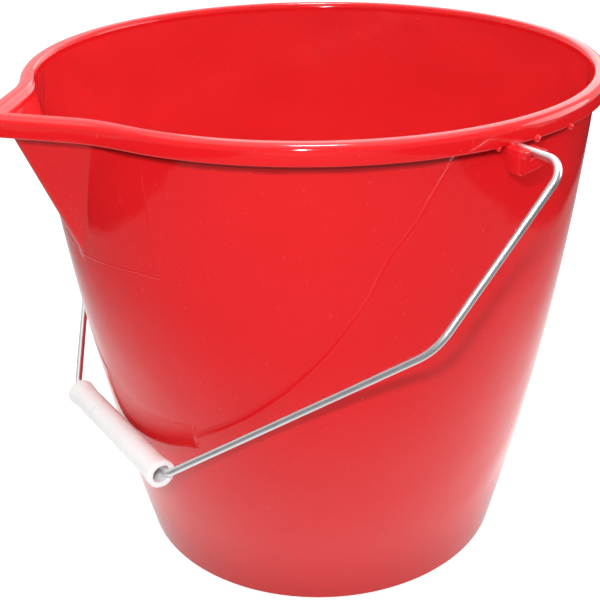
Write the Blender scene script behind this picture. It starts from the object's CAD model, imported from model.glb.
"""Wash bucket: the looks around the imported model. Metres, the model's own frame.

+Z is up, +X points to the pouring spout, and the bail pivots about a line parallel to Y.
"""

import math

import bmesh
import bpy
import numpy as np
from mathutils import Matrix, Vector


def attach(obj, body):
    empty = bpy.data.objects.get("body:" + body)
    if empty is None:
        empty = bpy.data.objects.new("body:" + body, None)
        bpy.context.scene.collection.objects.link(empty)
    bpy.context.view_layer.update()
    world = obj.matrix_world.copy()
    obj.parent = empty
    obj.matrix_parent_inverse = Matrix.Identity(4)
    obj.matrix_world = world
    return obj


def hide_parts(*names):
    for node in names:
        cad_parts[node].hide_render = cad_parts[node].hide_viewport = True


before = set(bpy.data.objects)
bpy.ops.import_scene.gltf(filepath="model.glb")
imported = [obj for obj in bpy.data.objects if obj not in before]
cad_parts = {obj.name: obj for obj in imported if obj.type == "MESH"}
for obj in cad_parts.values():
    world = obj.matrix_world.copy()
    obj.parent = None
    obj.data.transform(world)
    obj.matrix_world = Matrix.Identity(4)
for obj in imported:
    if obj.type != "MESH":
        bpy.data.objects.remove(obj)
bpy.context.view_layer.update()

MM = 0.001

# The moulding, in millimetres
HEIGHT = 275.0
WALL = (105.7, 40.3, 6.2)
CAVITY = (103.8, 39.7, 5.96)
FLOOR_TOP = 5.2
SPOUT_HALF_ANGLE = math.radians(50)
SPOUT_FOOT, SPOUT_FOOT_REACH, SPOUT_TOP_REACH, SPOUT_TIP = 199.0, 140.2, 171.0, 6.0
CHANNEL_FOOT, CHANNEL_FOOT_REACH, MOUTH_REACH, MOUTH_TIP = 202.0, 137.0, 169.0, 3.5
SPOUT_FILL, CHANNEL_FILL = (1.6, 4.2), (2.0, 4.3)
MOUTH_RADIUS, MOUTH_FILL, FILL_LOSS = 143.5, 6.3, 0.11
TIP_GAIN = 4 / 3
PIVOT_HEIGHT = 264.7

# The shell's section. Rings are (radius, z), rims are (distance outward from the mouth, z)
UNDERSIDE_RINGS = (
    (6, 0), (20, 0), (21.4, 0), (21.9, 0.3), (22.3, 2.0), (22.9, 2.4), (26, 2.4), (60, 2.4),
    (93, 2.4), (94.9, 2.35), (95.6, 2.0), (96.1, 0.4), (96.6, 0.02), (97.4, 0), (100, 0),
    (102.9, 0),
)
HEEL_RADIUS, HEEL_BEND = 2.5, (-70, -50, -30, -15)
WALL_TOP, UNDER_RIM, UNDER_RIM_FOOT, UNDER_RIM_EDGE = 272.0, 272.4, 0.3, 5.2
SKIRT_RIMS = (
    (5.55, 272.1), (5.7, 271.4), (5.75, 268.5), (5.8, 266.4), (5.95, 265.85), (6.3, 265.55),
    (6.8, 265.5), (7.3, 265.6), (7.62, 265.95), (7.72, 266.5), (7.7, 268.5), (7.6, 270.2),
)
RIM_WIDTH, RIM_RADIUS, RIM_DROP = 7.5, 3.3, 0.12
RIM_BEND = (0, 9, 18, 28, 38, 48, 58, 68, 78, 87)
RIM_TOP_RIMS = ((3.8, 274.92), (3.2, 274.97), (2.6, 275.0))
LIP_RADIUS, LIP_DROP, LIP_BEND = 2.2, 0.03, (98, 112, 127, 142, 157, 170)
INNER_TOP_HEIGHTS = (273.0, 272.0, 270.0)
CORNER_RADIUS, CORNER_BEND = 7.0, (0, -12, -25, -40, -55, -70, -82, -90)
FLOOR_RINGS = (
    (96, 5.2), (94.6, 5.22), (93.8, 5.45), (93.2, 5.75), (92.2, 5.85), (88, 5.85), (60, 5.8),
    (24, 5.75), (22.8, 5.7), (22.2, 5.4), (21.2, 5.25), (19, 5.2), (6, 5.2), (5.2, 5.25),
    (4.7, 5.6), (3.9, 5.9),
)
FLOOR_CENTRE = 6.0


def place(name, data):
    """Puts a mesh, camera or light into the scene."""
    obj = bpy.data.objects.new(name, data)
    bpy.context.scene.collection.objects.link(obj)
    return obj


def smooth_object(name, mesh):
    for polygon in mesh.polygons:
        polygon.use_smooth = True
    return place(name, mesh)


def new_mesh(name, points, faces):
    mesh = bpy.data.meshes.new(name)
    mesh.from_pydata(points, [], faces)
    work = bmesh.new()
    work.from_mesh(mesh)
    bmesh.ops.recalc_face_normals(work, faces=work.faces)
    work.to_mesh(mesh)
    work.free()
    return smooth_object(name, mesh)


def bands(rings, sides, closed=False):
    """Quads between rings of vertices that are numbered ring after ring."""
    faces = []
    for k in range(rings if closed else rings - 1):
        low, high = k * sides, (k + 1) % rings * sides
        for i in range(sides):
            j = (i + 1) % sides
            faces.append((low + i, low + j, high + j, high + i))
    return faces


def arc(degrees, radius, across, up):
    """Points at these angles on a circle about (across, up)."""
    return [
        (across + radius * math.cos(a), up + radius * math.sin(a)) for a in np.radians(degrees)
    ]


def smooth_max(a, b, width):
    """The larger of a and b, with the corner where they cross filled over +-width."""
    share = np.clip(1 - np.abs(a - b) / width, 0, None)
    return np.maximum(a, b) + share * share * width / 4


def beak(theta, reach, tip):
    """Polar radius of a wedge with a rounded tip that points along +X."""
    side_normal = math.pi / 2 - SPOUT_HALF_ANGLE
    nose = reach - tip
    side = nose * math.cos(side_normal) + tip
    angle = np.minimum(np.abs(theta), side_normal)
    straight = side / np.cos(angle - side_normal)
    nose_end = math.atan2(tip * math.sin(side_normal), nose + tip * math.cos(side_normal))
    over_tip = np.sqrt(np.maximum(tip**2 - (nose * np.sin(angle)) ** 2, 0))
    return np.where(angle < nose_end, nose * np.cos(angle) + over_tip, straight)


def barrel(z, base, spread, bulge):
    """Radius of a wall that widens by spread over the height and bulges halfway up."""
    share = z / HEIGHT
    return base + spread * share + bulge * 4 * share * (1 - share)


def wall_with_spout(theta, z, wall, foot, foot_reach, top_reach, tip, fill):
    """Radii of a wall joined to a wedge that leans outward from its foot to the rim."""
    rise = (z - foot) / (HEIGHT - foot)
    reach = foot_reach + (top_reach - foot_reach) * rise
    width = fill[0] + fill[1] * min(max(rise, 0), 1)
    return smooth_max(np.full_like(theta, barrel(z, *wall)), beak(theta, reach, tip), width)


def outer_wall(theta, z):
    return wall_with_spout(
        theta, z, WALL, SPOUT_FOOT, SPOUT_FOOT_REACH, SPOUT_TOP_REACH, SPOUT_TIP, SPOUT_FILL,
    )


def inner_wall(theta, z):
    return wall_with_spout(
        theta, z, CAVITY, CHANNEL_FOOT, CHANNEL_FOOT_REACH, MOUTH_REACH, MOUTH_TIP, CHANNEL_FILL,
    )


def rim_line(theta, across):
    """Plan line of the rim, across = distance outward from the mouth's edge."""
    return smooth_max(
        np.full_like(theta, MOUTH_RADIUS + across),
        beak(theta, MOUTH_REACH + across * TIP_GAIN, MOUTH_TIP + across),
        MOUTH_FILL - across * FILL_LOSS,
    )


def columns():
    """Azimuths round the bucket, closest together at the spout."""
    degrees = np.concatenate([
        np.arange(0, 4, 0.2), np.arange(4, 30, 0.5), np.arange(30, 180, 1.25),
    ])
    return np.radians(np.concatenate([degrees, [180.0], -degrees[:0:-1]]))


def shell_rows(theta):
    """Rows (radii at theta, z) from the underside up the outside and down the inside to the
    floor, and the number of the first row that has the inside's look."""
    rows = []

    def add_rings(section):
        rows.extend((np.full_like(theta, radius), z) for radius, z in section)

    def add_rims(section):
        rows.extend((rim_line(theta, across), z) for across, z in section)

    add_rings(UNDERSIDE_RINGS)
    heel_centre = barrel(HEEL_RADIUS, *WALL) - HEEL_RADIUS
    add_rings(arc(HEEL_BEND, HEEL_RADIUS, heel_centre, HEEL_RADIUS))
    heights = np.concatenate([
        [HEEL_RADIUS, 3.5, 5, 8, 12], np.arange(18, 186, 6), np.arange(187, 213, 1.3),
        np.arange(214, 272, 3), [271.4, WALL_TOP],
    ])
    rows.extend((outer_wall(theta, z), z) for z in heights)

    rows.append((outer_wall(theta, WALL_TOP) + UNDER_RIM_FOOT, UNDER_RIM))
    add_rims([(UNDER_RIM_EDGE, UNDER_RIM), *SKIRT_RIMS])
    rim_centre = HEIGHT - RIM_DROP - RIM_RADIUS
    add_rims(arc(RIM_BEND, RIM_RADIUS, RIM_WIDTH - RIM_RADIUS, rim_centre))
    add_rims(RIM_TOP_RIMS)
    add_rims(arc(LIP_BEND, LIP_RADIUS, LIP_RADIUS, HEIGHT - LIP_DROP - LIP_RADIUS))

    first_inside = len(rows) + len(INNER_TOP_HEIGHTS) - 1
    heights = np.concatenate([
        INNER_TOP_HEIGHTS, np.arange(267, 214, -3), np.arange(213, 190, -1.3),
        np.arange(186, 14, -6),
    ])
    rows.extend((inner_wall(theta, z), z) for z in heights)
    corner_height = FLOOR_TOP + CORNER_RADIUS
    corner_centre = barrel(corner_height, *CAVITY) - CORNER_RADIUS
    add_rings(arc(CORNER_BEND, CORNER_RADIUS, corner_centre, corner_height))
    add_rings(FLOOR_RINGS)
    return rows, first_inside


def build_shell():
    """The shell, and the number of its first face that has the inside's look. The discs in the
    middle of the underside and of the floor come last and have it too."""
    theta = columns()
    rows, first_inside = shell_rows(theta)
    count = len(theta)
    points = [
        (r * math.cos(t) * MM, r * math.sin(t) * MM, z * MM)
        for radii, z in rows
        for r, t in zip(radii, theta)
    ]
    below, floor = len(points), len(points) + 1
    points += [(0, 0, 0), (0, 0, FLOOR_CENTRE * MM)]
    faces = bands(len(rows), count)
    last = (len(rows) - 1) * count
    for k in range(count):
        after = (k + 1) % count
        faces.append((below, after, k))
        faces.append((floor, last + k, last + after))
    return new_mesh("bucket_shell", points, faces), first_inside * count


# The ears: (distance from the axis, size there) from the wall outward, in millimetres
EAR_STATIONS = (
    (144.9, 0.52), (152.9, 0.50), (153.3, 0.97), (153.8, 1.0), (161.0, 1.0), (161.6, 0.985),
    (161.95, 0.94),
)
EAR_MIDDLE, EAR_TOP = 262.0, 267.0
SLOT_RADIUS, SLOT_REACH = 2.15, 3.2
EAR_BEVEL, EAR_BEVEL_ANGLE = 0.45, math.radians(28)


def ear_outline():
    """The ear seen along its pivot: an open slot for the wire, lower beyond it, a pointed foot."""
    slot = arc(np.linspace(0, -180, 11), SLOT_RADIUS, 0, PIVOT_HEIGHT)
    right = [(8.8, EAR_TOP), (3.0, EAR_TOP - 0.4), (SLOT_RADIUS, EAR_TOP - 1.4)]
    left = [(-SLOT_RADIUS - 0.3, PIVOT_HEIGHT + 0.4), (-8.2, PIVOT_HEIGHT - 0.4)]
    foot = [(-8.6, 259.4), (-4.0, 257.4), (7.4, 255.6), (8.9, 257.2)]
    return right + slot + left + foot


def build_ear(side):
    """A narrow web with a wide face in front. side is 1 for the +Y ear and -1 for the -Y ear."""
    outline = ear_outline()
    points = []
    for reach, size in EAR_STATIONS:
        for x, z in outline:
            if z < EAR_MIDDLE:
                x, z = x * size, EAR_MIDDLE + (z - EAR_MIDDLE) * size
            elif abs(x) > SLOT_REACH:
                x *= size
            points.append((x * MM, side * reach * MM, z * MM))
    count = len(outline)
    faces = bands(len(EAR_STATIONS), count)
    last = (len(EAR_STATIONS) - 1) * count
    faces += [tuple(range(last, last + count)), tuple(reversed(range(count)))]
    ear = new_mesh("ear_plus" if side > 0 else "ear_minus", points, faces)
    bevel = ear.modifiers.new("soft_edges", "BEVEL")
    bevel.width, bevel.segments = EAR_BEVEL * MM, 3
    bevel.limit_method, bevel.angle_limit = "ANGLE", EAR_BEVEL_ANGLE
    return ear


# Gate marks beside an ear: azimuth in degrees, then distance from the axis, height and radius
NIBS = (
    (94.6, 151.2, 265.9, 1.9), (104.5, 150.9, 265.4, 1.7), (86.2, 150.8, 265.3, 1.2),
    (88.8, 150.4, 265.2, 1.0),
)
NIB_FLATTEN = 0.85
NIB_RIPPLE, RIPPLES_AROUND, RIPPLES_UP = 0.00012, 900, 9000


def build_nibs(side):
    """The gate marks, slightly uneven, under the skirt beside one ear."""
    work = bmesh.new()
    flatten = Matrix.Diagonal((1.0, 1.0, NIB_FLATTEN, 1.0))
    for azimuth, reach, z, radius in NIBS:
        a = math.radians(azimuth) * side
        centre = Vector((reach * math.cos(a), reach * math.sin(a), z)) * MM
        bmesh.ops.create_uvsphere(
            work, u_segments=20, v_segments=12, radius=radius * MM,
            matrix=Matrix.Translation(centre) @ flatten,
        )
    for vertex in work.verts:
        around = math.sin(math.atan2(vertex.co.y, vertex.co.x) * RIPPLES_AROUND)
        vertex.co.z += NIB_RIPPLE * around * math.cos(vertex.co.z * RIPPLES_UP)
    name = "gate_marks_plus" if side > 0 else "gate_marks_minus"
    mesh = bpy.data.meshes.new(name)
    work.to_mesh(mesh)
    work.free()
    return smooth_object(name, mesh)


# The bail in its own plane, in millimetres: (along Y, away from the pivot line, bend radius)
REST_ANGLE = math.radians(37.6)
WIRE_RADIUS, WIRE_SIDES = 1.9, 28
WIRE_CORNERS = [(180.1, 0.0, 8.5), (168.1, 92.8, 30.0), (54.7, 214.6, 7.5)]
WIRE_END = 149.5
WIRE_STEP, BEND_STEP = 4, 5
START_ROUND = ((0.0, 0.45), (0.25, 0.8), (0.6, 1.0))
END_ROUND = ((-0.6, 1.0), (-0.25, 0.8), (0.0, 0.45))


def bail_point(across, down):
    """Point of the bail's plane at rest."""
    return Vector((
        down * math.sin(REST_ANGLE),
        across,
        PIVOT_HEIGHT - down * math.cos(REST_ANGLE),
    )) * MM


def run_straight(path, end):
    """Lengthens path to end in steps of about WIRE_STEP."""
    begin = path[-1]
    steps = max(2, int(np.linalg.norm(end - begin) / WIRE_STEP))
    path += [begin + (end - begin) * k / steps for k in range(1, steps + 1)]


def wire_path():
    """Centre line (across, down) of the wire with its bends rounded."""
    corners = WIRE_CORNERS + [(-a, d, r) for a, d, r in reversed(WIRE_CORNERS)]
    path = [np.array((WIRE_END, 0.0))]
    stops = [path[0]] + [np.array(c[:2]) for c in corners] + [np.array((-WIRE_END, 0.0))]
    for before, corner, after, (_, _, radius) in zip(stops, stops[1:], stops[2:], corners):
        come = (before - corner) / np.linalg.norm(before - corner)
        go = (after - corner) / np.linalg.norm(after - corner)
        half = math.acos(float(come @ go)) / 2
        centre = corner + (come + go) / np.linalg.norm(come + go) * radius / math.sin(half)
        start, finish = (corner + d * radius / math.tan(half) - centre for d in (come, go))
        turn = math.atan2(start[0] * finish[1] - start[1] * finish[0], float(start @ finish))
        run_straight(path, centre + start)
        steps = max(6, int(abs(math.degrees(turn)) / BEND_STEP))
        for k in range(1, steps + 1):
            c, s = math.cos(turn * k / steps), math.sin(turn * k / steps)
            turned = np.array((c * start[0] - s * start[1], s * start[0] + c * start[1]))
            path.append(centre + turned)
    run_straight(path, stops[-1])
    return path


def wire_stations():
    """(centre, direction, size) along the wire, with its two ends rounded off."""
    centres = [bail_point(*p) for p in wire_path()]
    last = len(centres) - 1
    stations = []
    for k, centre in enumerate(centres):
        direction = (centres[min(k + 1, last)] - centres[max(k - 1, 0)]).normalized()
        rounds = {0: START_ROUND, last: END_ROUND}.get(k, ((0.0, 1.0),))
        stations += [(centre + direction * o * MM, direction, size) for o, size in rounds]
    return stations


def build_wire():
    """The wire, with a UV map of its length in metres and its turn for the drawn finish."""
    stations = wire_stations()
    normal = Vector((math.cos(REST_ANGLE), 0, math.sin(REST_ANGLE)))
    points, travelled = [], [0.0]
    for centre, direction, size in stations:
        side = direction.cross(normal)
        for i in range(WIRE_SIDES):
            a = 2 * math.pi * i / WIRE_SIDES
            out = side * math.cos(a) + normal * math.sin(a)
            points.append(centre + out * WIRE_RADIUS * size * MM)
    for (before, _, _), (centre, _, _) in zip(stations, stations[1:]):
        travelled.append(travelled[-1] + (centre - before).length)
    last = (len(stations) - 1) * WIRE_SIDES
    faces = bands(len(stations), WIRE_SIDES)
    faces += [tuple(range(WIRE_SIDES)), tuple(range(last, last + WIRE_SIDES))]
    wire = new_mesh("bail", points, faces)
    layer = wire.data.uv_layers.new(name="along_wire")
    for polygon in wire.data.polygons:
        around = [v % WIRE_SIDES for v in polygon.vertices]
        wraps = 0 in around and WIRE_SIDES - 1 in around
        for loop, vertex, turn in zip(polygon.loop_indices, polygon.vertices, around):
            share = 1.0 if wraps and turn == 0 else turn / WIRE_SIDES
            layer.data[loop].uv = (travelled[vertex // WIRE_SIDES], share)
    return wire


# The hand grip, in millimetres
GRIP_SHIFT, GRIP_LENGTH, GRIP_SAG, GRIP_SIDES = 1.3, 100.0, 2.4, 72
GRIP_RADIUS, GRIP_END_RADIUS, GRIP_FLARE, GRIP_BORE = 6.9, 7.7, 11.0, 4.6
GRIP_EDGE, BORE_EDGE = 1.2, 0.8
SEAM_HEIGHT, SEAM_WIDTH = 0.09, 0.22


def grip_section():
    """Closed half section of the grip: (distance from its middle, radius), outside then bore."""
    half = GRIP_LENGTH / 2
    outside = []
    for y in np.arange(-half + GRIP_EDGE, half - GRIP_EDGE + 0.01, 1.0):
        swell = (1 + math.cos(math.pi * min((half - abs(y)) / GRIP_FLARE, 1))) / 2
        outside.append((y, GRIP_RADIUS + (GRIP_END_RADIUS - GRIP_RADIUS) * swell))
    edge = arc((65, 40, 15, 0), GRIP_EDGE, half - GRIP_EDGE, GRIP_END_RADIUS - GRIP_EDGE)
    edge += arc((0, -30, -60, -90), BORE_EDGE, half - BORE_EDGE, GRIP_BORE + BORE_EDGE)
    bore = [(y, GRIP_BORE) for y in np.arange(half - 4, -half + 3.9, -4.0)]
    return outside + edge + bore + [(-y, radius) for y, radius in reversed(edge)]


def build_grip():
    """The grip, hung on the wire, with a faint mould seam along two sides."""
    centre = bail_point(GRIP_SHIFT, WIRE_CORNERS[2][1] + GRIP_SAG)
    section = grip_section()
    points = []
    for y, radius in section:
        for i in range(GRIP_SIDES):
            a = 2 * math.pi * i / GRIP_SIDES
            r = radius
            if radius > 6:
                r += SEAM_HEIGHT * math.exp(-((math.sin(a) * radius / SEAM_WIDTH) ** 2))
            points.append(centre + Vector((r * math.cos(a), y, r * math.sin(a))) * MM)
    return new_mesh("hand_grip", points, bands(len(section), GRIP_SIDES, closed=True))


class Nodes:
    """Short names for wiring a node tree."""

    def __init__(self, tree):
        self.tree = tree

    def add(self, kind, **settings):
        node = self.tree.nodes.new(kind)
        for name, value in settings.items():
            setattr(node, name, value)
        return node

    def link(self, source, target):
        self.tree.links.new(source, target)

    def feed(self, socket, value):
        if hasattr(value, "is_output"):
            self.link(value, socket)
        else:
            socket.default_value = value

    def math(self, operation, a, b=0.0):
        node = self.add("ShaderNodeMath", operation=operation)
        self.feed(node.inputs[0], a)
        self.feed(node.inputs[1], b)
        return node.outputs[0]

    def times(self, a, b):
        return self.math("MULTIPLY", a, b)

    def dot(self, vector, direction):
        node = self.add("ShaderNodeVectorMath", operation="DOT_PRODUCT")
        self.link(vector, node.inputs[0])
        node.inputs[1].default_value = direction
        return node.outputs["Value"]

    def noise(self, vector, scale, detail=2.0, roughness=0.5, distortion=0.0):
        node = self.add("ShaderNodeTexNoise")
        self.feed(node.inputs["Vector"], vector)
        node.inputs["Scale"].default_value = scale
        node.inputs["Detail"].default_value = detail
        node.inputs["Roughness"].default_value = roughness
        node.inputs["Distortion"].default_value = distortion
        return node.outputs["Fac"]

    def stretch(self, vector, scale):
        node = self.add("ShaderNodeMapping")
        self.feed(node.inputs["Vector"], vector)
        node.inputs["Scale"].default_value = scale
        return node.outputs[0]

    def remap(self, value, low, high, to_low, to_high, interpolation="LINEAR"):
        """Maps low-high to to_low-to_high and clamps beyond them."""
        node = self.add("ShaderNodeMapRange", interpolation_type=interpolation)
        self.feed(node.inputs["Value"], value)
        ends = {"From Min": low, "From Max": high, "To Min": to_low, "To Max": to_high}
        for name, number in ends.items():
            self.feed(node.inputs[name], number)
        return node.outputs[0]

    def spread(self, noise, to_low, to_high):
        """Maps the range that a noise mostly stays in."""
        return self.remap(noise, 0.3, 0.7, to_low, to_high)

    def blend(self, share, first, second):
        node = self.add("ShaderNodeMix", data_type="RGBA")
        self.feed(node.inputs["Factor"], share)
        self.feed(node.inputs["A"], first)
        self.feed(node.inputs["B"], second)
        return node.outputs["Result"]

    def bump(self, height, distance, under=None):
        node = self.add("ShaderNodeBump")
        node.inputs["Distance"].default_value = distance
        node.inputs["Strength"].default_value = 1.0
        self.feed(node.inputs["Height"], height)
        if under is not None:
            self.link(under, node.inputs["Normal"])
        return node.outputs[0]

    def line(self, distance, width):
        """1 on the line where distance is zero, fading to 0 at width."""
        return self.remap(self.math("ABSOLUTE", distance), 0.0, width, 1.0, 0.0)


class Shader(Nodes):
    """A new material with its shader."""

    def __init__(self, name):
        self.material = bpy.data.materials.new(name)
        self.material.use_nodes = True
        super().__init__(self.material.node_tree)
        self.surface = self.tree.nodes["Principled BSDF"]

    def place(self):
        """Where the surface is, in the object's own coordinates."""
        return self.add("ShaderNodeTexCoord").outputs["Object"]

    def drive(self, name, source):
        self.link(source, self.surface.inputs[name])

    def fix(self, name, value):
        self.surface.inputs[name].default_value = value


# Colours are linear RGBA, lengths from here on are metres
RED_DEEP, RED_PALE = (0.69, 0.0095, 0.0130, 1), (0.75, 0.0120, 0.0155, 1)
INSIDE_DEEP, INSIDE_PALE = (0.70, 0.0200, 0.0240, 1), (0.75, 0.0240, 0.0285, 1)
RED_SPECK, RED_CREVICE = (0.85, 0.06, 0.07, 1), (0.20, 0.002, 0.003, 1)
RED_IOR = 1.49
CREVICE_FOOT, CREVICE_FULL, CREVICE_RAGGED = 0.2601, 0.2617, 0.0003
SKIRT_EDGE, SKIRT_EDGE_END = 0.2652, 0.2655
INSERT_SIDE, INSERT_FRONT, WITNESS_WIDTH, WITNESS_HEIGHT = 0.0584, 0.06, 0.0006, 0.00011
SILL_MIDDLE, SILL_SIDE, SILL_SPAN = 0.1978, 0.2026, 0.045
UPRIGHT_FOOT, UPRIGHT_FULL = 0.2022, 0.2030


def witness_lines(s, where):
    """Height of the lines that the spout's mould insert leaves: two uprights and a sill."""
    split = s.add("ShaderNodeSeparateXYZ")
    s.link(where, split.inputs[0])
    x, y, z = split.outputs
    off_middle = s.math("ABSOLUTE", y)
    from_side = s.math("SUBTRACT", off_middle, INSERT_SIDE)
    above = s.remap(z, UPRIGHT_FOOT, UPRIGHT_FULL, 0.0, 1.0)
    upright = s.times(s.line(from_side, WITNESS_WIDTH), above)
    sill = s.math("SUBTRACT", z, s.remap(off_middle, 0.0, SILL_SPAN, SILL_MIDDLE, SILL_SIDE))
    within = s.remap(off_middle, INSERT_SIDE, INSERT_SIDE + WITNESS_WIDTH, 1.0, 0.0)
    across = s.times(s.line(sill, WITNESS_WIDTH), within)
    in_front = s.math("GREATER_THAN", x, INSERT_FRONT)
    lines = s.times(s.math("MAXIMUM", upright, across), in_front)
    return s.times(lines, s.remap(s.noise(where, 60.0), 0.35, 0.6, 0.25, 1.0))


def crevice_shade(s, where, amount):
    """Amount right under the skirt, fading out down the wall along a ragged edge."""
    split = s.add("ShaderNodeSeparateXYZ")
    s.link(where, split.inputs[0])
    z = split.outputs["Z"]
    drift = s.spread(s.noise(where, 45.0), -CREVICE_RAGGED, CREVICE_RAGGED)
    ragged = s.math("ADD", z, drift)
    under_skirt = s.remap(ragged, CREVICE_FOOT, CREVICE_FULL, 0.0, amount)
    return s.times(under_skirt, s.remap(z, SKIRT_EDGE, SKIRT_EDGE_END, 1.0, 0.0))


def red_plastic(name, deep, pale, dull=0.0, crevice=0.0, wave_height=0.0011):
    """deep and pale = the tones that drift over the plastic, dull = added roughness,
    crevice = how much darker it is right under the skirt."""
    s = Shader(name)
    where = s.place()
    tone = s.blend(s.spread(s.noise(where, 9.0, 3.0), 0.0, 1.0), deep, pale)
    specks = s.remap(s.noise(where, 420.0, 1.0), 0.70, 0.78, 0.0, 1.0)
    speckled = s.blend(s.times(specks, 0.4), tone, RED_SPECK)
    s.drive("Base Color", s.blend(crevice_shade(s, where, crevice), speckled, RED_CREVICE))

    smear = s.noise(s.stretch(where, (7.0, 7.0, 17.0)), 1.0, 4.0, 0.6, 0.8)
    haze = s.remap(smear, 0.35, 0.75, 0.045 + dull, 0.10 + 2 * dull)
    grain = s.spread(s.noise(where, 260.0, 3.0), -0.012, 0.015)
    s.drive("Roughness", s.math("ADD", haze, grain))

    waves = s.bump(s.noise(where, 16.0), wave_height)
    dimples = s.bump(s.noise(where, 90.0), 0.00005, under=waves)
    scuffs = s.remap(s.noise(s.stretch(where, (60.0, 60.0, 900.0)), 1.0), 0.66, 0.74, 0.0, 1.0)
    scuffed = s.bump(scuffs, 0.000012, under=dimples)
    s.drive("Normal", s.bump(witness_lines(s, where), WITNESS_HEIGHT, under=scuffed))
    s.fix("IOR", RED_IOR)
    return s.material


def zinc_wire():
    """Bright plating with streaks along the wire, on the wire's own UV map."""
    s = Shader("zinc_plated_wire")
    uv = s.add("ShaderNodeUVMap", uv_map="along_wire").outputs[0]
    drawn = s.noise(s.stretch(uv, (26.0, 46.0, 1.0)), 1.0, 4.0, 0.6)
    patches = s.noise(s.stretch(uv, (130.0, 3.0, 1.0)), 1.0, 3.0, 0.6)
    tone = s.blend(s.spread(patches, 0.0, 1.0), (0.80, 0.81, 0.83, 1), (0.90, 0.91, 0.92, 1))
    streaks = s.remap(drawn, 0.35, 0.7, 0.0, 0.35)
    s.drive("Base Color", s.blend(streaks, tone, (0.60, 0.62, 0.65, 1)))
    rough = s.math("ADD", s.spread(drawn, 0.26, 0.36), s.spread(patches, -0.03, 0.05))
    s.drive("Roughness", rough)
    s.drive("Normal", s.bump(patches, 0.00003, under=s.bump(drawn, 0.00003)))
    s.fix("Metallic", 1.0)
    return s.material


def white_plastic():
    """Matt white with faint grime in streaks along the grip."""
    s = Shader("white_polyethylene")
    where = s.place()
    clouds = s.spread(s.noise(where, 60.0, 3.0), 0.0, 1.0)
    tone = s.blend(clouds, (0.98, 0.98, 0.975, 1), (1.0, 1.0, 0.995, 1))
    streaks = s.noise(s.stretch(where, (500.0, 60.0, 500.0)), 1.0)
    grime = s.remap(streaks, 0.62, 0.75, 0.0, 0.12)
    s.drive("Base Color", s.blend(grime, tone, (0.62, 0.60, 0.56, 1)))
    s.drive("Roughness", s.spread(s.noise(where, 220.0, 3.0), 0.26, 0.42))
    soft = s.bump(s.noise(where, 120.0), 0.00008)
    s.drive("Normal", s.bump(s.noise(where, 1400.0, 1.0), 0.000015, under=soft))
    s.fix("Subsurface Weight", 0.1)
    s.fix("Subsurface Radius", (0.0020, 0.0020, 0.0018))
    return s.material


def finish_piece(obj, material, body, slot, *nodes):
    obj.data.materials.clear()
    obj.data.materials.append(material)
    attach(obj, body)
    if nodes:
        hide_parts(*nodes)


def build_object():
    red = red_plastic("red_polypropylene", RED_DEEP, RED_PALE)
    wall = red_plastic("red_wall", RED_DEEP, RED_PALE, crevice=0.75)
    inside = red_plastic("red_inside", INSIDE_DEEP, INSIDE_PALE, dull=0.03, wave_height=0.0045)
    zinc, white = zinc_wire(), white_plastic()
    for name, material in (("bucket_body", red), ("bail_wire", zinc), ("grip", white)):
        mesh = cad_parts[name].data
        mesh.materials.clear()
        mesh.materials.append(material)
    shell, first_inside = build_shell()
    finish_piece(shell, wall, "bucket", "red_plastic", "bucket_body")
    shell.data.materials.append(inside)
    for polygon in shell.data.polygons:
        polygon.material_index = int(polygon.index >= first_inside)
    for side in (1, -1):
        finish_piece(build_ear(side), red, "bucket", "red_plastic")
        finish_piece(build_nibs(side), red, "bucket", "red_plastic")
    finish_piece(build_wire(), zinc, "bail", "zinc_wire", "bail_wire")
    finish_piece(build_grip(), white, "grip", "white_plastic", "grip")


# The stage is laid out from the camera's side: TOWARDS points from the axis to the camera
TOWARDS = Vector((0.5656, 0.8247, 0))
RIGHT = Vector((-0.8247, 0.5656, 0))
UP = Vector((0, 0, 1))
MIDDLE = Vector((0, 0, 0.14))
CAMERA_AWAY, CAMERA_HEIGHT = 0.56097, 0.40846
PAN, PITCH, ROLL = 0.0177, 0.4589, -0.0076
LENS, SENSOR, SHIFT = 64.08, 36.0, -0.06
FLOOR_HALF = 1.6
FLOOR_GREYS = (0.74, 0.74, 0.74, 1), (0.78, 0.78, 0.78, 1)
FLOOR_FOR_CAMERA, WORLD_FOR_CAMERA = 0.6, 1.1
WORLD_BEHIND, WORLD_FRONT, WORLD_TURN = 0.80, 0.34, 0.35
WHITE = (1, 1, 1, 1)
OVERHEAD_POWER, OVERHEAD_ANGLE = 1.05, math.radians(75)


def stage_point(towards, right, up):
    return TOWARDS * towards + RIGHT * right + UP * up


# name, place, diameter, watts, spread in degrees
LAMPS = (
    ("flash", stage_point(0.59, -0.055, 0.505), 0.032, 2.0, 180),
    ("top_softbox", Vector((0, 0, 1.1)), 0.26, 0.30, 20),
    ("back_softbox", stage_point(-1.0, 0.2, 0.75), 0.9, 2.4, 180),
    ("side_softbox", stage_point(-0.15, 1.1, 0.50), 0.8, 4.6, 180),
)


def make_camera():
    forward = (
        RIGHT * math.sin(PAN) * math.cos(PITCH)
        - TOWARDS * math.cos(PAN) * math.cos(PITCH)
        - UP * math.sin(PITCH)
    )
    across = forward.cross(UP).normalized()
    rolled = across * math.cos(ROLL) + across.cross(forward) * math.sin(ROLL)
    turn = Matrix((rolled, rolled.cross(forward), -forward)).transposed()
    data = bpy.data.cameras.new("camera")
    data.lens, data.sensor_width, data.shift_x = LENS, SENSOR, SHIFT
    data.clip_start, data.clip_end = 0.01, 50
    camera = place("camera", data)
    spot = stage_point(CAMERA_AWAY, 0, CAMERA_HEIGHT)
    camera.matrix_world = Matrix.Translation(spot) @ turn.to_4x4()
    bpy.context.scene.camera = camera


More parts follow.
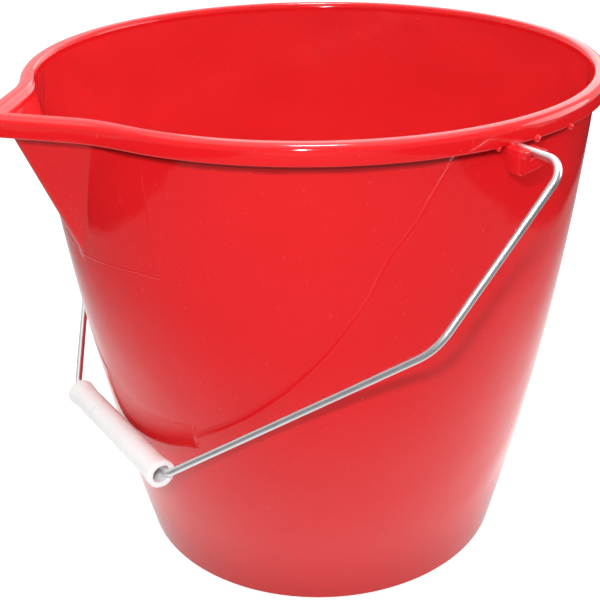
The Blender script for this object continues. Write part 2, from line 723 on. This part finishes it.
def make_floor():
    """A pale floor that the camera sees brighter than the bucket does."""
    half = FLOOR_HALF
    corners = [(-half, -half, 0), (half, -half, 0), (half, half, 0), (-half, half, 0)]
    floor = new_mesh("floor", corners, [(0, 1, 2, 3)])
    s = Shader("pale_floor")
    s.drive("Base Color", s.blend(s.noise(s.place(), 3.0), *FLOOR_GREYS))
    seen = s.add("ShaderNodeLightPath").outputs["Is Camera Ray"]
    s.drive("Emission Strength", s.times(seen, FLOOR_FOR_CAMERA))
    s.fix("Emission Color", WHITE)
    s.fix("Roughness", 0.8)
    s.fix("Specular IOR Level", 0.1)
    floor.data.materials.append(s.material)
    return floor


# The card: its glow fades from the axis, and its bright part ends beside the bucket
CARD_HALF_DEPTH, CARD_HALF_WIDTH, CARD_HEIGHT = 1.5, 1.4, 0.0012
CARD_AHEAD, CARD_BEHIND = 1.4, 0.3
CARD_FADE = (0.12, 0.45, 1.3, 0.3)
CARD_EDGE, CARD_EDGE_LEAN = 0.495, 0.12
CARD_EDGE_FADE = (-0.01, 0.015, 1.0, 0.08)
CONTACT_FADE = (0.105, 0.135, 0.5, 1.0)


def make_card():
    """A glowing card just above the floor that only reflections see."""
    points = [
        stage_point(towards * CARD_HALF_DEPTH, right * CARD_HALF_WIDTH, CARD_HEIGHT)
        for towards, right in ((-1, -1), (1, -1), (1, 1), (-1, 1))
    ]
    card = new_mesh("reflection_card", points, [(0, 1, 2, 3)])
    s = Shader("card")
    where = s.place()
    towards, right = s.dot(where, TOWARDS), s.dot(where, RIGHT)
    ahead = s.times(s.math("MAXIMUM", towards, 0.0), CARD_AHEAD)
    behind = s.times(s.math("MINIMUM", towards, 0.0), CARD_BEHIND)
    depth = s.math("ADD", ahead, behind)
    away = s.math("SQRT", s.math("ADD", s.times(depth, depth), s.times(right, right)))
    fall = s.remap(away, *CARD_FADE, interpolation="SMOOTHSTEP")
    edge = s.math("ADD", s.times(towards, CARD_EDGE_LEAN), CARD_EDGE)
    past = s.math("SUBTRACT", s.math("ABSOLUTE", right), edge)
    from_axis = s.add("ShaderNodeVectorMath", operation="LENGTH")
    s.link(where, from_axis.inputs[0])
    contact = s.remap(from_axis.outputs["Value"], *CONTACT_FADE)
    glow = s.add("ShaderNodeEmission")
    s.link(
        s.times(s.times(fall, contact), s.remap(past, *CARD_EDGE_FADE)), glow.inputs["Strength"],
    )
    s.link(glow.outputs[0], s.tree.nodes["Material Output"].inputs["Surface"])
    s.tree.nodes.remove(s.surface)
    s.material.cycles.emission_sampling = "NONE"
    card.data.materials.append(s.material)
    card.visible_camera = False
    card.visible_diffuse = False
    card.visible_shadow = False
    card.visible_transmission = False
    return card


def make_world():
    """Brighter behind the bucket than on the camera's side, and white for the camera."""
    world = bpy.data.worlds.new("studio")
    bpy.context.scene.world = world
    world.use_nodes = True
    s = Nodes(world.node_tree)
    background = s.tree.nodes["Background"]
    background.inputs["Color"].default_value = WHITE
    facing = s.dot(s.add("ShaderNodeTexCoord").outputs["Generated"], TOWARDS)
    strength = s.remap(facing, -WORLD_TURN, WORLD_TURN, WORLD_BEHIND, WORLD_FRONT)
    s.link(strength, background.inputs["Strength"])
    bright = s.add("ShaderNodeBackground")
    bright.inputs["Color"].default_value = WHITE
    bright.inputs["Strength"].default_value = WORLD_FOR_CAMERA
    mix = s.add("ShaderNodeMixShader")
    s.link(s.add("ShaderNodeLightPath").outputs["Is Camera Ray"], mix.inputs[0])
    s.link(background.outputs[0], mix.inputs[1])
    s.link(bright.outputs[0], mix.inputs[2])
    s.link(mix.outputs[0], s.tree.nodes["World Output"].inputs["Surface"])


def make_lights():
    overhead = bpy.data.lights.new("overhead", "SUN")
    overhead.energy, overhead.angle = OVERHEAD_POWER, OVERHEAD_ANGLE
    place("overhead", overhead)
    for name, spot, size, power, spread in LAMPS:
        data = bpy.data.lights.new(name, "AREA")
        data.shape, data.size = "DISK", size
        data.energy, data.spread = power, math.radians(spread)
        lamp = place(name, data)
        lamp.location = spot
        lamp.rotation_mode = "QUATERNION"
        lamp.rotation_quaternion = (MIDDLE - spot).to_track_quat("-Z", "Y")


def make_stage():
    make_floor()
    make_card()
    make_world()
    make_lights()


build_object()
make_camera()
make_stage()
bpy.context.scene.view_settings.view_transform = "Standard"
